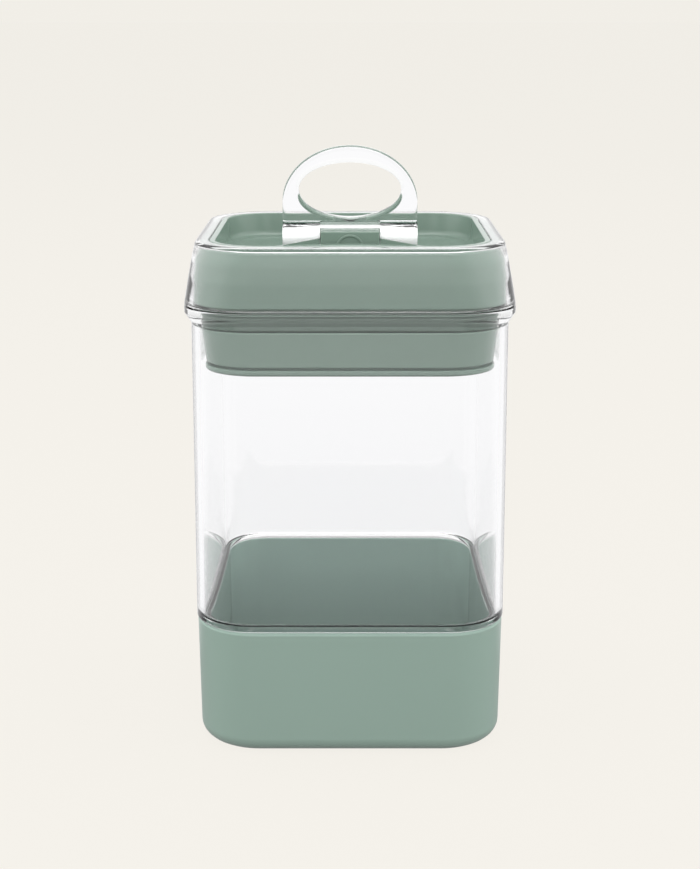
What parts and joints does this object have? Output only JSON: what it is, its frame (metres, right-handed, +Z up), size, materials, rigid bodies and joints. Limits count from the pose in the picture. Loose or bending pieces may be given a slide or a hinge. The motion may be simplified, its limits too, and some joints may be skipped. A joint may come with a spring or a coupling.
{
  "type": "vacuum seal canister",
  "caption": "Square clear food canister nested in a coloured boot, with a lift-off lid that seals when its clear ring handle is flipped down.",
  "frame": {"origin": "centre of the canister's base, on the floor", "axes": "+Z up, front of the canister toward -Y, +X to the right as seen from the front"},
  "size_m": [0.108, 0.108, 0.1996],
  "materials": {
    "boot_plastic": "satin sage-green moulded ABS",
    "clear_plastic": "polished clear SAN plastic",
    "lid_plastic": "satin-gloss sage-green moulded ABS",
    "seal_silicone": "matte dark green silicone",
    "natural_acetal": "natural white acetal, satin",
    "screw_steel": "stainless steel, satin"
  },
  "bodies": {
    "canister": {"clear_body": "clear_plastic", "base_boot": "boot_plastic"},
    "lid": {"lid_shell": "clear_plastic", "lid_frame": "lid_plastic", "lid_underplate": "lid_plastic", "stem_guide": "natural_acetal", "seal_gasket": "seal_silicone", "front_apron": "lid_plastic"},
    "lifter": {"pivot_block": "lid_plastic", "hinge_pin_left": "natural_acetal", "hinge_pin_right": "natural_acetal", "draw_stem": "natural_acetal", "stem_washer": "screw_steel", "stem_screw": "screw_steel", "seal_plate": "lid_plastic", "seal_plate_cover": "lid_plastic"},
    "handle": {"flip_handle": "clear_plastic"}
  },
  "joints": [
    {"name": "lid_lift", "type": "slide", "parent": "canister", "child": "lid", "axis": [0, 0, 1], "range_m": [0, 0.06]},
    {"name": "seal_lift", "type": "slide", "parent": "lid", "child": "lifter", "axis": [0, 0, 1], "range_m": [0, 0.0018], "deforming": ["seal_gasket"]},
    {"name": "handle_flip", "type": "hinge", "parent": "lifter", "child": "handle", "pos_m": [0, 0, 0.168], "axis": [-1, 0, 0], "range_deg": [0, 90]}
  ],
  "couplings": [
    {"joint": "handle_flip", "follows": "seal_lift", "rad_per_m": 872.66}
  ]
}
